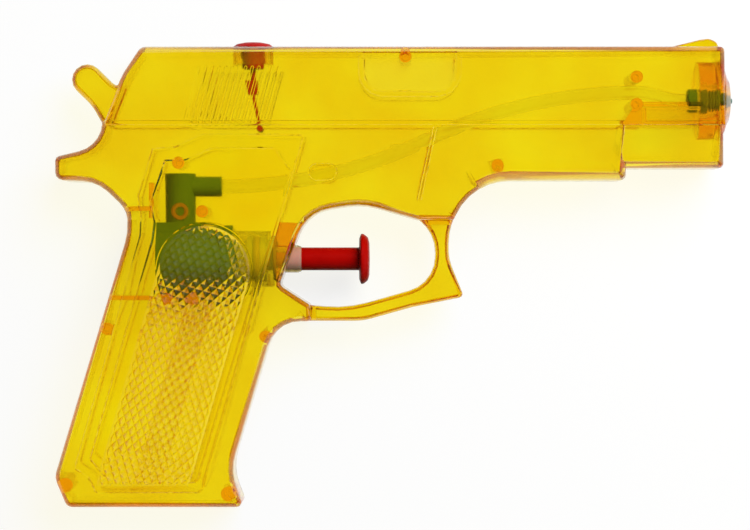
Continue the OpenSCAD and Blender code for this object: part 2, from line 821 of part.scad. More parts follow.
// Height of a ball's centre over the sharp edge of the port that it closes
function ball_rest(port) = sqrt(ball_d * ball_d - port * port) / 2 + 0.1;
outlet_rest = ball_rest(port_d);
inlet_rest = ball_rest(inlet_d);

module outlet_ball() {
    color("lightgray")
        placed()
            translate([tower_x, seat_y + outlet_rest, 0])
                sphere(d = ball_d);
}

module inlet_ball() {
    color("lightgray")
        placed()
            translate([cage_rear + inlet_rest, pump_y, 0])
                sphere(d = ball_d);
}

module inlet_cage() {
    pocket_front = cage_rear + inlet_rest + ball_d / 2 + ball_lift + 0.3;
    slot = 1.2;
    color("whitesmoke")
        placed()
            difference() {
                rod_x(cage_rear, cage_front, pump_y, cage_d);
                rod_x(cage_rear - 1, pocket_front, pump_y, ball_d + 0.7);
                rod_x(cage_rear, cage_front + 1, pump_y, inlet_d);
                translate([cage_rear + 3, pump_y - cage_d, -slot / 2])
                    cube([cage_front, 2 * cage_d, slot]);
            }
}

// The hose's route, as [point, heading]: two arcs up to the guide pegs and two down to the nozzle
hose_start = [spigot_x, spigot_y];
hose_end = [nozzle_rear, nozzle_y];
function sweep_angle(a, b) = 2 * atan(abs(b[1] - a[1]) / (b[0] - a[0]));
function sweep_radius(a, b) = (b[0] - a[0]) / (2 * sin(sweep_angle(a, b)));
function bow(r, a) = r * [sin(a), 1 - cos(a)];
hose_rise = sweep_angle(hose_start, guide);
hose_rise_r = sweep_radius(hose_start, guide);
hose_fall = sweep_angle(guide, hose_end);
hose_fall_r = sweep_radius(guide, hose_end);
hose_steps = 6;
hose_route = concat(
    [[[spigot_x - hose_grip + seat_gap, spigot_y], 0]],
    [for (k = [0:hose_steps]) let (a = hose_rise * k / hose_steps) [hose_start + bow(hose_rise_r, a), a]],
    [for (k = [hose_steps - 1:-1:0]) let (a = hose_rise * k / hose_steps) [guide - bow(hose_rise_r, a), a]],
    [for (k = [1:hose_steps / 2])
        let (a = hose_fall * 2 * k / hose_steps, b = bow(hose_fall_r, a)) [guide + [b[0], -b[1]], -a]],
    [for (k = [hose_steps / 2 - 1:-1:0])
        let (a = hose_fall * 2 * k / hose_steps, b = bow(hose_fall_r, a)) [hose_end - [b[0], -b[1]], -a]],
    [[[nozzle_rear + hose_grip - 1 - seat_gap, nozzle_y], 0]]
);
function hose_ring(place, d) = [
    for (j = [0:hose_sides - 1])
        let (b = 360 * (j + 0.5) / hose_sides, u = d / 2 * cos(b))
            [place[0][0] - u * sin(place[1]), place[0][1] + u * cos(place[1]), d / 2 * sin(b)]
];

module hose() {
    n = hose_sides;
    m = len(hose_route);
    points = concat(
        [for (q = hose_route) each hose_ring(q, hose_d)],
        [for (q = hose_route) each hose_ring(q, hose_bore)]
    );
    skin = [
        for (k = [0:m - 2])
            for (j = [0:n - 1])
                let (a = k * n + j, b = k * n + (j + 1) % n, c = m * n)
                    each [
                        [a, a + n, b + n], [a, b + n, b],
                        [c + a, c + b + n, c + a + n], [c + a, c + b, c + b + n]
                    ]
    ];
    ends = [
        for (j = [0:n - 1])
            let (k = (j + 1) % n, c = m * n, z = (m - 1) * n)
                each [
                    [j, c + k, c + j], [j, k, c + k],
                    [z + j, z + c + j, z + c + k], [z + j, z + c + k, z + k]
                ]
    ];
    color([0.86, 0.9, 0.7, 0.7])
        placed()
            polyhedron(points, concat(skin, ends));
}

module nozzle() {
    pitch = (shank_front - collar_front - 1) / nozzle_ribs;
    ribs = [
        for (i = [0:nozzle_ribs - 1])
            let (x = collar_front + 0.6 + i * pitch)
                each [
                    [shank_r - 0.45, x], [shank_r, x + 0.15],
                    [shank_r, x + pitch / 2], [shank_r - 0.45, x + pitch / 2 + 0.15]
                ]
    ];
    socket_r = hose_d / 2 + seat_gap;
    socket_x = nozzle_rear + hose_grip - 1;
    jet_r = 0.4;
    color("olivedrab")
        placed()
            turned_x(nozzle_y, concat(
                [[socket_r, nozzle_rear], [nozzle_d / 2 - 0.4, nozzle_rear],
                 [nozzle_d / 2, nozzle_rear + 0.4], [nozzle_d / 2, collar_front],
                 [shank_r - 0.45, collar_front]],
                ribs,
                [[shank_r - 0.45, shank_front], [0.85, shank_front], [0.85, tip_x - 0.4],
                 [0.55, tip_x], [jet_r, tip_x], [jet_r, shank_front - 1],
                 [hose_bore / 2, shank_front - 1.6], [hose_bore / 2, socket_x],
                 [socket_r, socket_x]]
            ));
}

module fill_plug() {
    seat = top_y + seat_gap;
    plug_y = top_y - 5.3;
    catch_y = top_y - 8.4;
    strap_y = top_y - 12.2;
    strap = [0.8, 1.8];
    bar_x = bar_dx - 0.3;
    cap_r = cap_d / 2;
    plug_r = plug_d / 2;
    color("firebrick")
        placed() {
            turned_y(filler_x, [
                [0, catch_y - 1], [0.7, catch_y - 1], [0.7, plug_y],
                [plug_r - 0.5, plug_y], [plug_r, top_y - 1.9], [plug_r, seat],
                [cap_r, seat], [cap_r, seat + 0.4], [cap_r * 0.8, seat + cap_h * 0.75],
                [cap_r * 0.45, seat + cap_h], [0, seat + cap_h]
            ]);
            translate([filler_x, 0, -strap[1] / 2])
                linear_extrude(strap[1])
                    polygon([
                        [-2.1, catch_y], [-1.3, strap_y], [-strap[0] / 2, strap_y],
                        [bar_x - strap[0] / 2, bar_y], [bar_x + strap[0] / 2, bar_y],
                        [strap[0] / 2, strap_y], [1.3, strap_y], [1.2, catch_y]
                    ]);
            translate([filler_x + bar_x, bar_y, -4.5])
                cylinder(d = bar_d, h = 9);
        }
}

right_shell();
left_shell();
trigger();
piston();
piston_seal();
return_spring();
pump_barrel();
barrel_gasket();
valve_housing();
valve_tower();
outlet_ball();
inlet_ball();
inlet_cage();
hose();
nozzle();
fill_plug();
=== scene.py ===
import math

import bmesh
import bpy
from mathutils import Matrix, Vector


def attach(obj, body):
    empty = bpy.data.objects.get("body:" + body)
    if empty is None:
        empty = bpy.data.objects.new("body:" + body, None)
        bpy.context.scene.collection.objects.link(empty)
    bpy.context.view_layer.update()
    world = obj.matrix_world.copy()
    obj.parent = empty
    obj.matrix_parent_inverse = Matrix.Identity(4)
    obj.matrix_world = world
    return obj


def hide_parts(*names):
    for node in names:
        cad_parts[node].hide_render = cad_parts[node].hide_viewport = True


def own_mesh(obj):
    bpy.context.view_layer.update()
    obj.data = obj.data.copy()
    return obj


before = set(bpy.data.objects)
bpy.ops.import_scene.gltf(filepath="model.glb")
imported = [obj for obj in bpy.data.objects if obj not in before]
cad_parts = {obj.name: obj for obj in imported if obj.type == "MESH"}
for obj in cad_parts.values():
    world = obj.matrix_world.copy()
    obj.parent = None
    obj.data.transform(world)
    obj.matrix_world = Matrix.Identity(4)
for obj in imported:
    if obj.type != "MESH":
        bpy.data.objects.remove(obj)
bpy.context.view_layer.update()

scene = bpy.context.scene
scene.view_settings.view_transform = "Standard"
lightPaths = {"all": 32, "transmission": 24, "glossy": 24, "clamp": 6}
scene.cycles.max_bounces = lightPaths["all"]         # two clear walls and what lies between them
scene.cycles.transmission_bounces = lightPaths["transmission"]
scene.cycles.glossy_bounces = lightPaths["glossy"]   # light that runs along inside the walls
scene.cycles.sample_clamp_indirect = lightPaths["clamp"]
scene.cycles.caustics_refractive = False             # the lamp shines straight through clear walls
print("frame loaded:", len(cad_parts), "nodes")

white = (1, 1, 1, 1)
mixFactor, mixFirst, mixSecond, mixResult = 0, 6, 7, 2   # a Mix node's sockets for colours
perMetre = 1000                          # mm in a metre


def linear(code):                        # sRGB hex to linear colour
    parts = [int(code[i:i + 2], 16) / 255 for i in (1, 3, 5)]
    return [c / 12.92 if c < 0.04045 else ((c + 0.055) / 1.055) ** 2.4 for c in parts] + [1]


def addNode(tree, kind, values={}, links={}, **settings):
    node = tree.nodes.new(kind)
    for key, value in settings.items():
        setattr(node, key, value)
    for key, value in values.items():
        node.inputs[key].default_value = value
    for key, socket in links.items():
        tree.links.new(socket, node.inputs[key])
    return node


def startMaterial(name):
    material = bpy.data.materials.new(name)
    material.use_nodes = True
    material.node_tree.nodes.clear()
    return material, material.node_tree


def intoScene(name, data):               # a new object that holds this mesh, camera or lamp
    thing = bpy.data.objects.new(name, data)
    scene.collection.objects.link(thing)
    return thing


# the toy's landmarks, in mm forward from the tang and up from the grip's base, to the frame's metres
placing = {"centre": (89.85, 62.1), "half": 12.0}


def placed(x, y, z=0.0):                 # z is counted from the weld line
    cx, cy = placing["centre"]
    return Vector(((x - cx) / perMetre, (y - cy) / perMetre, (z + placing["half"]) / perMetre))


# camera, straight above the toy as it lies on its side
shot = {"place": (-0.00545, 0.00176, 0.792), "lens": 140.25, "sensor": 36.0, "nearest": 0.01}
cameraData = bpy.data.cameras.new("camera")
cameraData.lens = shot["lens"]
cameraData.sensor_width = shot["sensor"]
cameraData.sensor_fit = "HORIZONTAL"
cameraData.clip_start = shot["nearest"]
camera = intoScene("camera", cameraData)
camera.location = shot["place"]
scene.camera = camera

# table top, light tent and one large soft lamp
studio = {
    "floorSize": 3.0, "floorDrop": 0.0002, "floorColour": "#8a8a89",
    "floorGlow": 0.8, "floorPaintedShadeGlow": 0.74,          # the paper's glow as seen, and a lower glow through clear walls: painted shade under the body
    "tentTop": 0.03, "tentSides": 1.0, "tentFrom": 0.08, "tentTo": 0.42, "tentThrough": 0.8,
    "lampPlace": (0.42, 0.5, 0.78), "lampSize": 0.8, "lampPower": 11.0,
}
sheetMesh = bpy.data.meshes.new("tableTop")
reach = studio["floorSize"] / 2
sheetMesh.from_pydata(
    [(x * reach, y * reach, -studio["floorDrop"]) for x, y in ((-1, -1), (1, -1), (1, 1), (-1, 1))],
    [], [(0, 1, 2, 3)])
tableTop = intoScene("tableTop", sheetMesh)

# seamless paper, matt: white to the eye, and it takes a soft shadow
paper, tree = startMaterial("mattWhitePaper")
rays = addNode(tree, "ShaderNodeLightPath")
seen = addNode(tree, "ShaderNodeMath", {},
               {0: rays.outputs["Is Camera Ray"], 1: rays.outputs["Is Glossy Ray"]},
               operation="MAXIMUM")
seen = addNode(tree, "ShaderNodeMath", {},
               {0: seen.outputs[0], 1: rays.outputs["Is Transmission Ray"]}, operation="MAXIMUM")
shade = addNode(tree, "ShaderNodeMath",              # painted shade: seen through the clear body, the paper glows less, standing in for its shadow
                {1: studio["floorPaintedShadeGlow"] - studio["floorGlow"], 2: studio["floorGlow"]},
                {0: rays.outputs["Is Transmission Ray"]}, operation="MULTIPLY_ADD")
glowLevel = addNode(tree, "ShaderNodeMath", {}, {0: seen.outputs[0], 1: shade.outputs[0]},
                    operation="MULTIPLY")
glow = addNode(tree, "ShaderNodeEmission", {"Color": white}, {"Strength": glowLevel.outputs[0]})
matt = addNode(tree, "ShaderNodeBsdfDiffuse", {"Color": linear(studio["floorColour"])})
both = addNode(tree, "ShaderNodeAddShader", {}, {0: glow.outputs[0], 1: matt.outputs[0]})
addNode(tree, "ShaderNodeOutputMaterial", {}, {"Surface": both.outputs[0]})
sheetMesh.materials.append(paper)

tent = bpy.data.worlds.new("lightTent")              # white cloth sides, open and dark straight above
tent.use_nodes = True
tree = tent.node_tree
tree.nodes.clear()
aim = addNode(tree, "ShaderNodeTexCoord")
height = addNode(tree, "ShaderNodeSeparateXYZ", {}, {0: aim.outputs["Generated"]})
level = addNode(tree, "ShaderNodeMapRange",
                {"From Min": studio["tentFrom"], "From Max": studio["tentTo"],
                 "To Min": studio["tentSides"], "To Max": studio["tentTop"]},
                {"Value": height.outputs["Z"]}, interpolation_type="SMOOTHSTEP")
rays = addNode(tree, "ShaderNodeLightPath")
through = addNode(tree, "ShaderNodeMath", {1: studio["tentThrough"]},
                  {0: rays.outputs["Is Transmission Ray"]},
                  operation="MULTIPLY")              # seen through clear walls it is white all round
level = addNode(tree, "ShaderNodeMath", {}, {0: level.outputs[0], 1: through.outputs[0]},
                operation="MAXIMUM")
sky = addNode(tree, "ShaderNodeBackground", {"Color": white}, {"Strength": level.outputs[0]})
addNode(tree, "ShaderNodeOutputWorld", {}, {"Surface": sky.outputs[0]})
scene.world = tent

lampData = bpy.data.lights.new("softLamp", "AREA")
lampData.size = studio["lampSize"]
lampData.energy = studio["lampPower"]
lamp = intoScene("softLamp", lampData)
lamp.location = studio["lampPlace"]
lamp.rotation_euler = (-Vector(studio["lampPlace"])).to_track_quat("-Z", "Y").to_euler()
lamp.visible_glossy = False              # behind cloth: its light arrives, its outline isn't mirrored
lamp.visible_transmission = False
print("camera, table and light set")


def lampsThrough(tree, shader):          # a shadow ray passes, so lamps shine into the hollow body
    clear = addNode(tree, "ShaderNodeBsdfTransparent", {"Color": white})
    rays = addNode(tree, "ShaderNodeLightPath")
    return addNode(tree, "ShaderNodeMixShader", {}, {
        0: rays.outputs["Is Shadow Ray"], 1: shader.outputs[0], 2: clear.outputs[0]})


# clear polystyrene, injection moulded: glossy, yellow that turns orange in thick places, faint flow
# ripples and a haze that softens what lies inside; scratches are coarser than real ones, to show
styrene = {
    "skin": "#fff89c", "cloud": "#fceb84", "cloudMm": 24.0, "cloudSpan": (0.35, 0.65),
    "tint": "#fffc00", "density": 1200, "ior": 1.59,
    "rough": (0.06, 0.17), "hazeMm": 2.5, "hazeSpan": (0.35, 0.75),
    "rippleMm": 9.0, "rippleHeightMm": 0.012,
    "scratchMm": 0.5, "scratchHeightMm": 0.002, "scratchTurn": 0.5, "scratchStretch": 0.06,
}
clearStyrene, tree = startMaterial("mouldedClearPolystyrene")
where = addNode(tree, "ShaderNodeTexCoord").outputs["Object"]
ripple = addNode(tree, "ShaderNodeTexNoise",
                 {"Scale": perMetre / styrene["rippleMm"], "Detail": 2.0, "Roughness": 0.4},
                 {"Vector": where})
haze = addNode(tree, "ShaderNodeTexNoise",
               {"Scale": perMetre / styrene["hazeMm"], "Detail": 4.0, "Roughness": 0.6},
               {"Vector": where})
hazeRough = addNode(tree, "ShaderNodeMapRange",
                    {"From Min": styrene["hazeSpan"][0], "From Max": styrene["hazeSpan"][1],
                     "To Min": styrene["rough"][0], "To Max": styrene["rough"][1]},
                    {"Value": haze.outputs["Fac"]})
drawn = addNode(tree, "ShaderNodeMapping",
                {"Rotation": (0, 0, styrene["scratchTurn"]),
                 "Scale": (1, styrene["scratchStretch"], 1)}, {"Vector": where})
scratch = addNode(tree, "ShaderNodeTexNoise",
                  {"Scale": perMetre / styrene["scratchMm"], "Detail": 2.0},
                  {"Vector": drawn.outputs[0]})
waved = addNode(tree, "ShaderNodeBump",
                {"Strength": 1.0, "Distance": styrene["rippleHeightMm"] / perMetre},
                {"Height": ripple.outputs["Fac"]})
scored = addNode(tree, "ShaderNodeBump",
                 {"Strength": 1.0, "Distance": styrene["scratchHeightMm"] / perMetre},
                 {"Height": scratch.outputs["Fac"], "Normal": waved.outputs[0]})
cloud = addNode(tree, "ShaderNodeTexNoise",
                {"Scale": perMetre / styrene["cloudMm"], "Detail": 2.0}, {"Vector": where})
flow = addNode(tree, "ShaderNodeMapRange",
               {"From Min": styrene["cloudSpan"][0], "From Max": styrene["cloudSpan"][1]},
               {"Value": cloud.outputs["Fac"]})
skin = addNode(tree, "ShaderNodeMix",                # the melt's own uneven mixing
               {mixFirst: linear(styrene["skin"]), mixSecond: linear(styrene["cloud"])},
               {mixFactor: flow.outputs[0]}, data_type="RGBA")
body = addNode(tree, "ShaderNodeBsdfPrincipled",
               {"IOR": styrene["ior"], "Transmission Weight": 1.0},
               {"Base Color": skin.outputs[mixResult], "Roughness": hazeRough.outputs[0],
                "Normal": scored.outputs[0]})
depth = addNode(tree, "ShaderNodeVolumeAbsorption",  # thick places take out green and turn orange
                {"Color": linear(styrene["tint"]), "Density": styrene["density"]})
addNode(tree, "ShaderNodeOutputMaterial", {},
        {"Surface": lampsThrough(tree, body).outputs[0], "Volume": depth.outputs[0]})

# low-density polyethylene, moulded: waxy half gloss and soft mottling from the moulding
waxy = {"mottleMm": 3.0, "grainMm": 0.35, "grainHeightMm": 0.008, "grainStrength": 0.6,
        "glossSwing": 0.07}


def waxyPolyethylene(name, colour, deep, rough, transmission=0.0, ior=1.51, shine=0.5):
    material, tree = startMaterial(name)
    where = addNode(tree, "ShaderNodeTexCoord").outputs["Object"]
    mottle = addNode(tree, "ShaderNodeTexNoise",
                     {"Scale": perMetre / waxy["mottleMm"], "Detail": 3.0}, {"Vector": where})
    shade = addNode(tree, "ShaderNodeMix", {mixFirst: linear(deep), mixSecond: linear(colour)},
                    {mixFactor: mottle.outputs["Fac"]}, data_type="RGBA")
    grain = addNode(tree, "ShaderNodeTexNoise",
                    {"Scale": perMetre / waxy["grainMm"], "Detail": 2.0}, {"Vector": where})
    gloss = addNode(tree, "ShaderNodeMapRange",
                    {"To Min": rough - waxy["glossSwing"], "To Max": rough + waxy["glossSwing"]},
                    {"Value": grain.outputs["Fac"]})
    pores = addNode(
        tree, "ShaderNodeBump",
        {"Strength": waxy["grainStrength"], "Distance": waxy["grainHeightMm"] / perMetre},
        {"Height": grain.outputs["Fac"]})
    body = addNode(
        tree, "ShaderNodeBsdfPrincipled",
        {"IOR": ior, "Specular IOR Level": shine, "Transmission Weight": transmission},
        {"Base Color": shade.outputs[mixResult], "Roughness": gloss.outputs[0],
         "Normal": pores.outputs[0]})
    if transmission:
        body = lampsThrough(tree, body)
    addNode(tree, "ShaderNodeOutputMaterial", {}, {"Surface": body.outputs[0]})
    return material


redWax = waxyPolyethylene("mouldedRedPolyethylene", "#c80a04", "#b40602", 0.45, shine=0.12)
greenWax = waxyPolyethylene("mouldedGreenPolyethylene", "#66887c", "#5a7a6f", 0.4, shine=0.2)
whiteWax = waxyPolyethylene("mouldedWhitePolyethylene", "#f4f2ea", "#e9e7de", 0.4, transmission=0.6)
# uncoloured and milky; its IOR is lowered to keep the barrel's rims as pale as the toy's
naturalWax = waxyPolyethylene("mouldedNaturalPolyethylene", "#fcf5e0", "#f8eed4", 0.2,
                              transmission=0.8, ior=1.2)
# soft vinyl, extruded: nearly clear, a pale band behind the yellow wall, its IOR lowered likewise
clearVinyl = waxyPolyethylene("extrudedSoftVinyl", "#fdfdf6", "#fafbf0", 0.3,
                              transmission=0.97, ior=1.1)

# natural rubber, moulded: amber and dull, with a fine bloom
rubber = {"colour": "#ac8236", "bloom": "#c6a258", "bloomMm": 0.8, "rough": (0.55, 0.8), "ior": 1.52}
gumRubber, tree = startMaterial("mouldedNaturalRubber")
where = addNode(tree, "ShaderNodeTexCoord").outputs["Object"]
bloom = addNode(tree, "ShaderNodeTexNoise",
                {"Scale": perMetre / rubber["bloomMm"], "Detail": 3.0}, {"Vector": where})
shade = addNode(tree, "ShaderNodeMix",
                {mixFirst: linear(rubber["colour"]), mixSecond: linear(rubber["bloom"])},
                {mixFactor: bloom.outputs["Fac"]}, data_type="RGBA")
dull = addNode(tree, "ShaderNodeMapRange",
               {"To Min": rubber["rough"][0], "To Max": rubber["rough"][1]},
               {"Value": bloom.outputs["Fac"]})
body = addNode(tree, "ShaderNodeBsdfPrincipled", {"IOR": rubber["ior"]},
               {"Base Color": shade.outputs[mixResult], "Roughness": dull.outputs[0]})
addNode(tree, "ShaderNodeOutputMaterial", {}, {"Surface": body.outputs[0]})

# stainless steel, drawn wire and ground balls: bright, with fine lines, drawn coarse enough to show
steel = {"colour": "#b8babd", "lineMm": 0.12, "lineHeightMm": 0.002, "lineStrength": 0.5,
         "rough": (0.16, 0.34)}
brightSteel, tree = startMaterial("drawnStainlessSteel")
where = addNode(tree, "ShaderNodeTexCoord").outputs["Object"]
lines = addNode(tree, "ShaderNodeTexNoise",
                {"Scale": perMetre / steel["lineMm"], "Detail": 2.0}, {"Vector": where})
sheen = addNode(tree, "ShaderNodeMapRange",
                {"To Min": steel["rough"][0], "To Max": steel["rough"][1]},
                {"Value": lines.outputs["Fac"]})
ridged = addNode(tree, "ShaderNodeBump",
                 {"Strength": steel["lineStrength"], "Distance": steel["lineHeightMm"] / perMetre},
                 {"Height": lines.outputs["Fac"]})
body = addNode(tree, "ShaderNodeBsdfPrincipled",
               {"Base Color": linear(steel["colour"]), "Metallic": 1.0},
               {"Roughness": sheen.outputs[0], "Normal": ridged.outputs[0]})
addNode(tree, "ShaderNodeOutputMaterial", {}, {"Surface": body.outputs[0]})
print("materials made:", len(bpy.data.materials))

# how the pieces are shaded and their edges softened
softening = {"shellCreaseDeg": 33.5, "creaseDeg": 28, "flatDeg": 0.5, "segments": 2}


def addPiece(name, mesh, material, bodyName, slotName, *nodes,
             smoothDeg=softening["shellCreaseDeg"]):
    mesh.materials.clear()
    mesh.materials.append(material)
    mesh.shade_smooth()
    mesh.set_sharp_from_angle(angle=math.radians(smoothDeg))
    piece = intoScene(name, mesh)
    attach(piece, bodyName)
    if nodes:
        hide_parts(*nodes)
    return piece


def shadeEvenly(piece):
    even = piece.modifiers.new("evenShading", "WEIGHTED_NORMAL")
    even.keep_sharp = True


def bridge(build, one, two):             # a band of faces from one ring of points to the next
    for k in range(len(one)):
        build.faces.new((one[k - 1], one[k], two[k], two[k - 1]))


def closedMesh(build, name, triangles=False):
    bmesh.ops.recalc_face_normals(build, faces=build.faces)
    if triangles:
        bmesh.ops.triangulate(build, faces=build.faces)
    mesh = bpy.data.meshes.new(name)
    build.to_mesh(mesh)
    build.free()
    return mesh


joinWithin = 2e-6                        # metres, far less than any detail


def nodeMesh(node, name):                # a closed copy of a node's own mesh, its split corners joined
    build = bmesh.new()
    build.from_mesh(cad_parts[node].data)
    bmesh.ops.remove_doubles(build, verts=build.verts, dist=joinWithin)
    mesh = bpy.data.meshes.new(name)
    build.to_mesh(mesh)
    build.free()
    for layer in ("custom_normal", "sharp_face", "sharp_edge"):
        if layer in mesh.attributes:
            mesh.attributes.remove(mesh.attributes[layer])
    return mesh


def combined(base, tool, operation):     # the mesh of one boolean step between two scratch objects
    step = base.modifiers.new("step", "BOOLEAN")
    step.operation = operation
    step.solver = "MANIFOLD"
    step.object = tool
    bpy.context.view_layer.update()
    done = base.evaluated_get(bpy.context.evaluated_depsgraph_get())
    mesh = bpy.data.meshes.new_from_object(done)
    base.modifiers.remove(step)
    return mesh


# the grips' checkering: V grooves that cross and leave small pyramids, in a long panel with a round
# top, and a thin groove round its arch; the last two rows are how far the cutting tools reach
checkering = {
    "centre": (39.5, 62.2), "radius": 11.9, "foot": 5.4, "rake": 16.2, "top": 11.9,
    "lineAngle": 32.75, "pitch": 1.83, "depth": 0.72, "land": 0.03, "runOut": 1.3,
    "rim": (12.4, 12.9), "rimDepth": 0.25, "rimLap": 0.25, "rimSteps": 48, "archSteps": 40,
    "over": 1.0, "panelShort": 0.2, "panelDeep": 2, "rimRise": 0.5, "rimLip": 0.01,
    "spare": 3, "footSpare": 10, "cells": (-30, 60),
}


def gripAxes():                          # down the grip, and across it
    lean = math.radians(checkering["rake"])
    down = Vector((-math.sin(lean), -math.cos(lean)))
    return down, Vector((-down.y, down.x))


def panelTool():                         # the panel, with sloping sides on which the grooves run out
    down, side = gripAxes()
    start = Vector(checkering["centre"])
    top = checkering["top"]
    steps = checkering["archSteps"]
    build = bmesh.new()
    rings = []
    for z in (top - checkering["panelDeep"], top + checkering["over"] - checkering["panelShort"]):
        shrink = (top - z) * checkering["runOut"]
        radius = checkering["radius"] - shrink
        outline = [start + side * radius * math.cos(a) - down * radius * math.sin(a)
                   for a in [math.pi * k / steps for k in range(steps + 1)]]
        for edge in (start - side * radius, start + side * radius):
            outline.append(edge + down * (edge.y - checkering["foot"] - shrink) / -down.y)
        rings.append([build.verts.new(placed(p.x, p.y, z)) for p in outline])
    bridge(build, *rings)
    for ring in rings:
        build.faces.new(ring)
    return closedMesh(build, "panelTool", triangles=True)


def pyramidTool():                       # solid above the pyramids, that is taken off the grip's side
    down, side = gripAxes()
    angle = math.radians(checkering["lineAngle"])
    stretch = checkering["pitch"] / math.sin(2 * angle)
    first = (down * math.cos(angle) + side * math.sin(angle)) * stretch
    second = (down * math.cos(angle) - side * math.sin(angle)) * stretch
    start = Vector(checkering["centre"])
    top = checkering["top"]
    farDown = start.y - checkering["foot"] + checkering["footSpare"]
    farOut = checkering["radius"] + checkering["spare"]
    build = bmesh.new()
    corners = {}

    def corner(i, j):                    # a groove crossing, and the tool's top above it
        if (i, j) not in corners:
            p = start + first * i + second * j
            corners[i, j] = (build.verts.new(placed(p.x, p.y, top - checkering["depth"])),
                             build.verts.new(placed(p.x, p.y, top + checkering["over"])))
        return corners[i, j]

    cells = set()
    for i in range(*checkering["cells"]):
        for j in range(*checkering["cells"]):
            middle = first * (i + 0.5) + second * (j + 0.5)
            if -farOut < middle.dot(down) < farDown and abs(middle.dot(side)) < farOut:
                cells.add((i, j))
    for i, j in cells:
        ring = [corner(i, j), corner(i + 1, j), corner(i + 1, j + 1), corner(i, j + 1)]
        p = start + first * (i + 0.5) + second * (j + 0.5)
        apex = build.verts.new(placed(p.x, p.y, top - checkering["land"]))
        for k in range(4):
            build.faces.new((ring[k][0], ring[(k + 1) % 4][0], apex))
        build.faces.new([c[1] for c in ring])
        for k, step in enumerate(((0, -1), (1, 0), (0, 1), (-1, 0))):
            if (i + step[0], j + step[1]) not in cells:      # the tool's outer sides
                a, b = ring[k], ring[(k + 1) % 4]
                build.faces.new((a[0], b[0], b[1], a[1]))
    return closedMesh(build, "pyramidTool", triangles=True)


def rimTool():                           # thin V groove round the panel's arch
    down, side = gripAxes()
    start = Vector(checkering["centre"])
    near, far = checkering["rim"]
    top, lap, steps = checkering["top"], checkering["rimLap"], checkering["rimSteps"]
    low, high = top - checkering["rimDepth"], top + checkering["rimRise"]
    lip = top + checkering["rimLip"]
    spots = [(near, high), (near, lip), ((near + far) / 2, low), (far, lip), (far, high)]
    build = bmesh.new()
    rings = []
    for k in range(steps + 1):
        a = -lap + (math.pi + 2 * lap) * k / steps
        out = side * math.cos(a) - down * math.sin(a)
        rings.append([build.verts.new(placed(*(start + out * r), z)) for r, z in spots])
    for one, two in zip(rings, rings[1:]):
        bridge(build, one, two)
    build.faces.new(rings[0])
    build.faces.new(rings[-1])
    return closedMesh(build, "rimTool", triangles=True)


# fine V lines: at the foot of the grip's two raised levels, and round the ejection port and its floor;
# each has its height over the weld line, and corners with their radius
fineLines = {
    "width": 0.42, "depth": 0.16, "rise": 0.2, "arcSteps": 8,
    "outer": [
        (11.4, [(5.2, 10.5, 1.2), (9, 7.8, 1.2), (10.8, 3.8, 1.2), (38.7, 3.8, 1.5),
                (65.9, 98.2, 1), (38.3, 98.2, 4), (31.7, 95, 6), (25.8, 94.7, 0.6),
                (21.9, 82, 2), (22.7, 77, 3), (22.4, 71.5, 6)]),
        (12.0, [(80.2, 108.3, 6.6), (107, 108.3, 6.6), (107, 123.8, 0.6), (80.2, 123.8, 0.6)]),
    ],
    "inner": [
        (11.65, [(9.3, 13, 1.2), (14.4, 6.5, 1.2), (37.7, 6.5, 1.5), (62.6, 88.9, 1.2),
                 (59.8, 91.6, 2), (58.2, 94.7, 1.2), (41.5, 94.7, 4), (34.3, 91.6, 4),
                 (29, 91.6, 0.6), (25.2, 80.2, 2), (26.2, 75.2, 3), (25.6, 70.5, 6)]),
        (11.5, [(81.5, 109.6, 5.3), (105.7, 109.6, 5.3), (105.7, 122.5, 0.6), (81.5, 122.5, 0.6)]),
    ],
}


def roundedLoop(corners):                # a loop through the arcs at its corners
    loop = []
    steps = fineLines["arcSteps"]
    for k, (x, y, r) in enumerate(corners):
        here = Vector((x, y))
        back = (here - Vector(corners[k - 1][:2])).normalized()
        ahead = (Vector(corners[(k + 1) % len(corners)][:2]) - here).normalized()
        turn = math.atan2(back.x * ahead.y - back.y * ahead.x, back.dot(ahead))
        inward = Vector((-back.y, back.x)) * math.copysign(1, turn)
        centre = here - back * r * math.tan(abs(turn) / 2) + inward * r
        arm = -inward * r
        for n in range(steps + 1):
            a = turn * n / steps
            loop.append(centre + Vector((arm.x * math.cos(a) - arm.y * math.sin(a),
                                         arm.x * math.sin(a) + arm.y * math.cos(a))))
    return loop


def lineTool(name, lines):               # a V bar along each loop, point down
    build = bmesh.new()
    rise, depth = fineLines["rise"], fineLines["depth"]
    wide = fineLines["width"] / 2 * (1 + rise / depth)
    for z, corners in lines:
        loop = roundedLoop(corners)
        rings = []
        for k, p in enumerate(loop):
            one = (p - loop[k - 1]).normalized()
            two = (loop[(k + 1) % len(loop)] - p).normalized()
            aside = Vector((-one.y - two.y, one.x + two.x)) / (1 + one.dot(two))
            rings.append([build.verts.new(placed(*(p + aside * d), z + h))
                          for d, h in ((-wide, rise), (0, -depth), (wide, rise))])
        for k, ring in enumerate(rings):
            bridge(build, rings[k - 1], ring)
    return closedMesh(build, name, triangles=True)


pyramids = intoScene("pyramids", pyramidTool())
panel = intoScene("panel", panelTool())
cutter = intoScene("cutter", combined(pyramids, panel, "INTERSECT"))
rim = intoScene("rim", rimTool())
outerLines = intoScene("outerLines", lineTool("outerLines", fineLines["outer"]))
innerLines = intoScene("innerLines", lineTool("innerLines", fineLines["inner"]))


def mirror(mesh):                        # to the other side of the weld line
    build = bmesh.new()
    build.from_mesh(mesh)
    for v in build.verts:
        v.co.z = 2 * placing["half"] / perMetre - v.co.z
    bmesh.ops.reverse_faces(build, faces=build.faces)
    build.to_mesh(mesh)
    build.free()


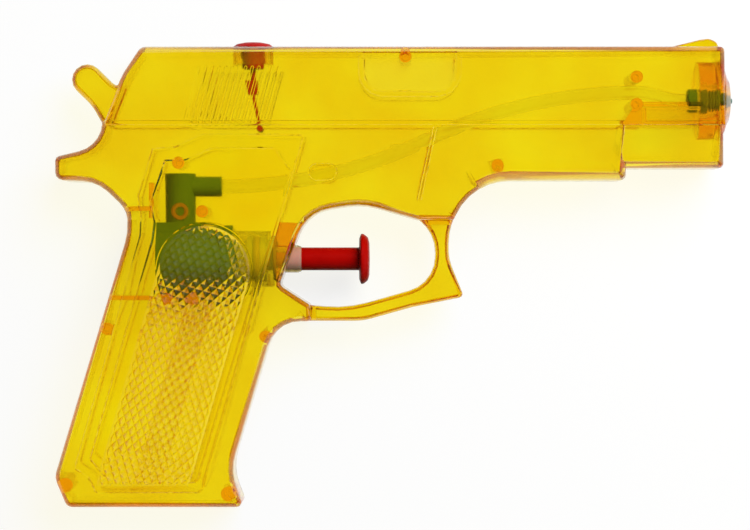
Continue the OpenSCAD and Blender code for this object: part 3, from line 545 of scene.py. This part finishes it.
shells = {"right_shell": "rightHalfShell", "left_shell": "leftHalfShell"}
for node, name in shells.items():
    blank = intoScene("blank", nodeMesh(node, name + "Blank"))
    for tool in (outerLines, innerLines, cutter, rim):
        if node == "left_shell":
            mirror(tool.data)
        blank.data = combined(blank, tool, "DIFFERENCE")
    finished = blank.data
    finished.name = name
    bpy.data.objects.remove(blank)
    shell = addPiece(name, finished, clearStyrene, "housing", "clear_yellow", node)
    shadeEvenly(shell)
    print(name, len(finished.polygons), "faces")
for scrap in (pyramids, panel, cutter, rim, outerLines, innerLines):
    bpy.data.objects.remove(scrap)

# rigid pieces inside and on the shells: the node's own form, its edges softened by so many mm
pieces = {
    "trigger": ("triggerButton", redWax, "trigger", "red_plastic", 0.25),
    "fill_plug": ("fillerPlug", redWax, "fill_plug", "red_plastic", 0.2),
    "piston": ("pumpPiston", whiteWax, "trigger", "white_plastic", 0.15),
    "piston_seal": ("pistonRing", gumRubber, "trigger", "rubber", 0),
    "pump_barrel": ("pumpBarrel", naturalWax, "housing", "natural_plastic", 0.15),
    "barrel_gasket": ("barrelWasher", gumRubber, "housing", "rubber", 0.1),
    "valve_housing": ("valveHousing", greenWax, "housing", "green_plastic", 0.3),
    "valve_tower": ("valveTower", greenWax, "housing", "green_plastic", 0.3),
    "inlet_cage": ("inletCage", whiteWax, "housing", "white_plastic", 0.12),
    "nozzle": ("muzzleNozzle", greenWax, "housing", "green_plastic", 0.08),
    "outlet_ball": ("outletBall", brightSteel, "outlet_ball", "steel", 0),
    "inlet_ball": ("inletBall", brightSteel, "inlet_ball", "steel", 0),
}
for node, (name, material, bodyName, slotName, softMm) in pieces.items():
    mesh = nodeMesh(node, name)
    if softMm:                           # flat faces are made whole, so that only edges are softened
        build = bmesh.new()
        build.from_mesh(mesh)
        bmesh.ops.dissolve_limit(build, angle_limit=math.radians(softening["flatDeg"]),
                                 verts=build.verts, edges=build.edges)
        build.to_mesh(mesh)
        build.free()
    piece = addPiece(name, mesh, material, bodyName, slotName, node,
                     smoothDeg=softening["creaseDeg"])
    if softMm:
        soften = piece.modifiers.new("softEdge", "BEVEL")
        soften.width = softMm / perMetre
        soften.segments = softening["segments"]
        soften.limit_method = "ANGLE"
        soften.angle_limit = math.radians(softening["creaseDeg"])
    shadeEvenly(piece)
print("rigid pieces:", len(pieces))


def tube(name, path, ups, radius, sides, bore=0.0):      # round a path, hollow where it has a bore
    build = bmesh.new()
    angles = [2 * math.pi * j / sides for j in range(sides)]
    layers = []
    for r in ([radius, bore] if bore else [radius]):
        rings = []
        for k, spot in enumerate(path):
            ahead = (path[min(k + 1, len(path) - 1)] - path[max(k - 1, 0)]).normalized()
            across = ahead.cross(ups[k]).normalized()
            up = across.cross(ahead)
            rings.append([build.verts.new(spot + r * (math.cos(a) * across + math.sin(a) * up))
                          for a in angles])
        layers.append(rings)
        for one, two in zip(rings, rings[1:]):
            bridge(build, one, two)
    for end in (0, -1):
        if bore:
            bridge(build, layers[0][end], layers[1][end])
        else:
            build.faces.new(layers[0][end])
    return closedMesh(build, name)


# rubber rings between the shells' clamps and the valve tower
clampRing = {"centre": (33.0, 78.05), "radius": 2.2, "bore": 1.25, "from": 4.06, "to": 4.26,
             "sides": 32}
build = bmesh.new()
ringX, ringY = clampRing["centre"]
for turnOver in (1, -1):                 # one on each side of the weld line
    spots = [(clampRing[r], turnOver * clampRing[z]) for r, z in (
        ("bore", "from"), ("bore", "to"), ("radius", "to"), ("radius", "from"))]
    rings = []
    for k in range(clampRing["sides"]):
        a = 2 * math.pi * k / clampRing["sides"]
        rings.append([build.verts.new(placed(ringX + r * math.cos(a), ringY + r * math.sin(a), z))
                      for r, z in spots])
    for k, ring in enumerate(rings):
        bridge(build, rings[k - 1], ring)
addPiece("clampRings", closedMesh(build, "clampRings"), gumRubber, "housing", "rubber")

# return spring of the pump: drawn wire in even turns
spring = {"from": 28.8, "to": 49.9, "axisY": 65.5, "meanDia": 9.6, "wire": 0.7, "turns": 7,
          "perTurn": 36, "sides": 10, "stroke": 11.0}
wireSteps = spring["turns"] * spring["perTurn"]
wirePath, wireUps = [], []
for k in range(wireSteps + 1):
    a = 2 * math.pi * k / spring["perTurn"]
    x = spring["from"] + (spring["to"] - spring["from"]) * (k / wireSteps)
    r = spring["meanDia"] / 2
    wirePath.append(placed(x, spring["axisY"] + r * math.cos(a), r * math.sin(a)))
    wireUps.append(Vector((0, math.cos(a), math.sin(a))))
wireMesh = tube("returnSpring", wirePath, wireUps, spring["wire"] / 2 / perMetre, spring["sides"])
coil = addPiece("returnSpring", wireMesh, brightSteel, "housing", "steel", "return_spring")
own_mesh(coil)

# hose from the outlet valve up between the guide pegs and on to the nozzle
hose = {"start": (39.55, 84.75), "spigot": (43.5, 84.75), "guide": (153.3, 109.8),
        "nozzle": (167.6, 107.6), "end": (170.55, 107.6), "dia": 3.6, "bore": 2.2,
        "steps": 24, "sides": 24}


def sweep(a, b):                         # two arcs that leave a level and reach b level
    rise, run = b[1] - a[1], b[0] - a[0]
    angle = 2 * math.atan(abs(rise) / run)
    radius = run / (2 * math.sin(angle))
    sign = 1 if rise > 0 else -1
    bow = [(radius * math.sin(t), sign * radius * (1 - math.cos(t)))
           for t in [angle * k / hose["steps"] for k in range(hose["steps"] + 1)]]
    return ([(a[0] + x, a[1] + y) for x, y in bow]
            + [(b[0] - x, b[1] - y) for x, y in reversed(bow[:-1])])


route = [hose["start"]] + sweep(hose["spigot"], hose["guide"])
route += sweep(hose["guide"], hose["nozzle"])[1:] + [hose["end"]]
hosePath = [placed(x, y) for x, y in route]
hoseMesh = tube("waterHose", hosePath, [Vector((0, 0, 1))] * len(hosePath),
                hose["dia"] / 2 / perMetre, hose["sides"], hose["bore"] / 2 / perMetre)
addPiece("waterHose", hoseMesh, clearVinyl, "housing", "natural_plastic", "hose")
print("spring and hose made")
